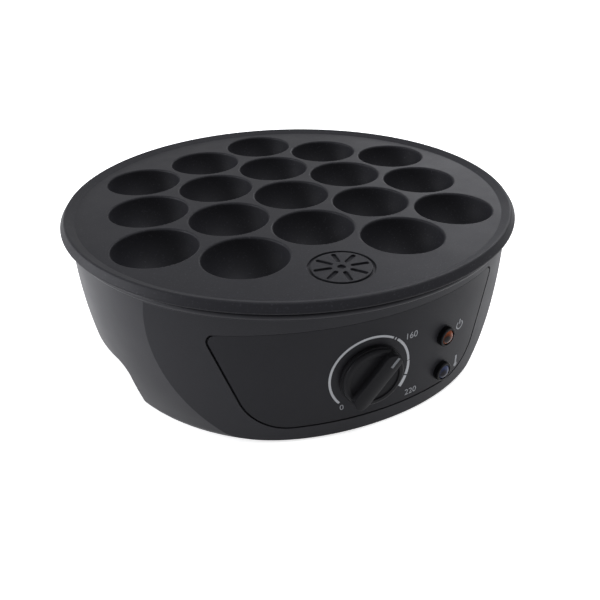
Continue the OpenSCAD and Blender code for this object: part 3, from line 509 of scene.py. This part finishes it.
# %% [markdown]
# ## The lenses
#
# Each lens is a dome of tinted polycarbonate, moulded with a ripple on its inside so that a small lamp
# fills it. The lamp is off. The dark hollow behind the dome is painted into its middle as shade, and the
# lens's colour is painted round that as a bright ring, the light seen through the tube's wall edge on.

# %% Tinted polycarbonate
PAINTED_SHADE_MM = 1.6
PAINTED_RING_MM = 3.6
RIPPLE_MM = 1.1
RIPPLE_DEEP_MM = 0.12
RIPPLE_STRENGTH = 0.4


def tinted_lens(name, lens, tint_with_painted_edge_light, painted_hollow_shade):
    """Clear tinted polycarbonate over a rippled inside: painted shade in the middle, a painted bright ring
    of its colour, and sharp glints.
    """
    material, tree, shader, place = start_finish(
        name, IOR=1.585, Roughness=0.2, Specular_IOR_Level=0.06, Transmission_Weight=0.1
    )
    # Painted shade: round the dome's tip the colour is dark for the hollow behind, and further out it is
    # painted bright as light in the wall seen edge on
    tip = min((corner.co for corner in nodes[lens].data.vertices), key=lambda co: co.y)
    from_tip = add_node(tree, "VectorMath", {0: place, 1: tip}, operation="DISTANCE")
    # The mask runs from 0 in the painted shade of the middle to 1 where the painted bright ring begins
    ring = add_node(
        tree,
        "MapRange",
        {"Value": from_tip.outputs["Value"], "From Min": PAINTED_SHADE_MM * MM, "From Max": PAINTED_RING_MM * MM},
    )
    tone = add_node(
        tree,
        "MixRGB",
        {"Fac": ring.outputs["Result"], "Color1": hex_colour(painted_hollow_shade), "Color2": hex_colour(tint_with_painted_edge_light)},
    )
    tree.links.new(tone.outputs["Color"], shader.inputs["Base Color"])
    ripple = add_node(
        tree, "TexVoronoi", {"Vector": place, "Scale": grains_per_metre(RIPPLE_MM)}, feature="SMOOTH_F1"
    )
    bump = add_node(
        tree,
        "Bump",
        {
            "Strength": RIPPLE_STRENGTH,
            "Distance": RIPPLE_DEEP_MM * MM,
            "Height": ripple.outputs["Distance"],
        },
    )
    tree.links.new(bump.outputs["Normal"], shader.inputs["Normal"])
    give(material, lens)


# The first colour is the lens's own colour, painted bright as the lit ring. The second is the painted shade
# of the hollow behind
tinted_lens("amber_polycarbonate", "power_lamp_lens", "#86401C", "#120906")
tinted_lens("blue_polycarbonate", "heat_lamp_lens", "#3D4666", "#0A0A18")
print("lenses tinted")

# %% [markdown]
# ## The printed scale
#
# The scale is pad printed on the panel in pale ink: an arc round the knob with breaks at its marks, the
# numbers, and a sign beside each lamp. It is drawn flat, as thin outlines in front of the panel, and a
# shrinkwrap modifier then presses it on to the curved face, so that it follows the panel exactly.

# %% Print the arc round the dial
INK_THICK_MM = 0.08
SHEET_CLEAR_MM = 5
ARC_IN_MM = 21.0

knob_axis = Vector(frame["joints"][0]["pos_m"])
dial_centre = Vector((knob_axis.x, cad_low.y - SHEET_CLEAR_MM * MM, knob_axis.z))


def band(print_mesh, centre, start, end, inner, outer, end_outer, steps):
    """Draw part of a ring in the sheet, by angles clockwise from straight up and radii in millimetres."""
    rows = []
    for i in range(steps + 1):
        t = i / steps
        angle = math.radians(start + (end - start) * t)
        wide = outer + (end_outer - outer) * t
        spoke = Vector((math.sin(angle), 0, math.cos(angle)))
        rows.append([print_mesh.verts.new(centre + spoke * r * MM) for r in (inner, wide)])
    for low, high in zip(rows, rows[1:]):
        print_mesh.faces.new((low[0], high[0], high[1], low[1]))


def print_piece(name, print_mesh, material):
    """Press a drawn sheet on to the panel as a piece of ink with a thickness."""
    bmesh.ops.recalc_face_normals(print_mesh, faces=print_mesh.faces)
    mesh = bpy.data.meshes.new(name)
    print_mesh.to_mesh(mesh)
    print_mesh.free()
    mesh.materials.append(material)
    piece = bpy.data.objects.new(name, mesh)
    scene.collection.objects.link(piece)
    wrap = piece.modifiers.new("on the panel", "SHRINKWRAP")
    wrap.target = nodes["control_panel"]
    wrap.wrap_method = "PROJECT"
    wrap.use_project_y = True
    wrap.use_positive_direction = True
    wrap.use_negative_direction = False
    layer = piece.modifiers.new("ink", "SOLIDIFY")
    layer.thickness = INK_THICK_MM * MM
    layer.offset = 0
    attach(piece, "cooker")


# Two coats of ink cover the panel well, so the arc is the palest print
ink = plain_finish("pad_printing_ink", "#B7B9BC", "#A6A8AB", 0.5, 0.55)
# Each row: start and end in degrees, outer radius at both in millimetres, steps
arc_parts = (
    (-129, 33, 22.2, 22.2, 96),
    (36, 38, 22.2, 22.2, 4),
    (41, 87, 22.3, 22.3, 48),
    (88, 110, 22.4, 22.8, 48),
    (112, 129, 22.8, 23.1, 48),
)
arc = bmesh.new()
for start, end, outer, end_outer, steps in arc_parts:
    band(arc, dial_centre, start, end, ARC_IN_MM, outer, end_outer, steps)
print_piece("dial_scale", arc, ink)
print("scale printed in", len(arc_parts), "parts")

# %% [markdown]
# ## The numbers
#
# Three numbers stand outside the arc. They come from Blender's own font, turned into flat meshes in the
# same sheet as the arc, and are pressed on to the panel with it. Thin strokes take less ink, so they look
# greyer than the arc.

# %% Print the numbers
NUMERAL_SHARE = 0.7


def on_sheet(right_mm, up_mm):
    """Find a place in the sheet from the dial's middle."""
    return dial_centre + Vector((right_mm, 0, up_mm)) * MM


def print_number(print_mesh, words, place, height_mm):
    """Draw a number in the sheet, centred on its place. A numeral is a share of the font's size high."""
    curve = bpy.data.curves.new(words, "FONT")
    curve.body = words
    curve.size = height_mm * MM / NUMERAL_SHARE
    curve.align_x = "CENTER"
    curve.align_y = "CENTER"
    writing = bpy.data.objects.new(words, curve)
    mesh = bpy.data.meshes.new_from_object(writing)
    upright = Matrix.Rotation(math.radians(90), 4, "X")
    mesh.transform(Matrix.Translation(place) @ upright)
    print_mesh.from_mesh(mesh)
    bpy.data.objects.remove(writing)
    bpy.data.curves.remove(curve)
    bpy.data.meshes.remove(mesh)


thin_ink = plain_finish("thin_pad_printing_ink", "#95979A", "#84868A", 0.5, 0.55)
numbers = bmesh.new()
print_number(numbers, "0", on_sheet(-15.4, -16.9), height_mm=3.2)
print_number(numbers, "160", on_sheet(22.6, 15.7), height_mm=3.6)
print_number(numbers, "220", on_sheet(24.6, -20.1), height_mm=3.6)
print_piece("dial_numbers", numbers, thin_ink)
print("numbers printed")

# %% [markdown]
# ## The signs beside the lamps
#
# A sign beside each lamp says what it stands for: an open ring with a bar for power, and a thermometer for
# heat. Each is drawn as an outline of a few named sizes, so it stays crisp at any distance.


# %% Print the signs
def bar(print_mesh, place, width, height):
    """Draw an upright bar in the sheet, by its middle and its size in millimetres."""
    corners = [Vector((a * width / 2, 0, b * height / 2)) for a, b in ((-1, -1), (1, -1), (1, 1), (-1, 1))]
    print_mesh.faces.new([print_mesh.verts.new(place + corner * MM) for corner in corners])


def thermometer(print_mesh, place, bulb, stem, top, steps=24):
    """Draw a round bulb that runs into a stem, as one outline, by its sizes in millimetres."""
    neck = math.asin(stem / 2 / bulb)
    turns = [neck + (2 * math.pi - 2 * neck) * i / steps for i in range(steps + 1)]
    outline = [(bulb * math.sin(turn), bulb * math.cos(turn)) for turn in turns]
    outline += [(-stem / 2, top), (stem / 2, top)]
    print_mesh.faces.new([print_mesh.verts.new(place + Vector((x, 0, z)) * MM) for x, z in outline])


signs = bmesh.new()
band(signs, on_sheet(57.6, 7.0), 35, 325, inner=2.0, outer=2.7, end_outer=2.7, steps=32)
bar(signs, on_sheet(57.6, 9.1), width=0.8, height=3.0)
thermometer(signs, on_sheet(58.0, -19.3), bulb=1.3, stem=1.3, top=6.1)
print_piece("lamp_signs", signs, thin_ink)
print("signs printed")
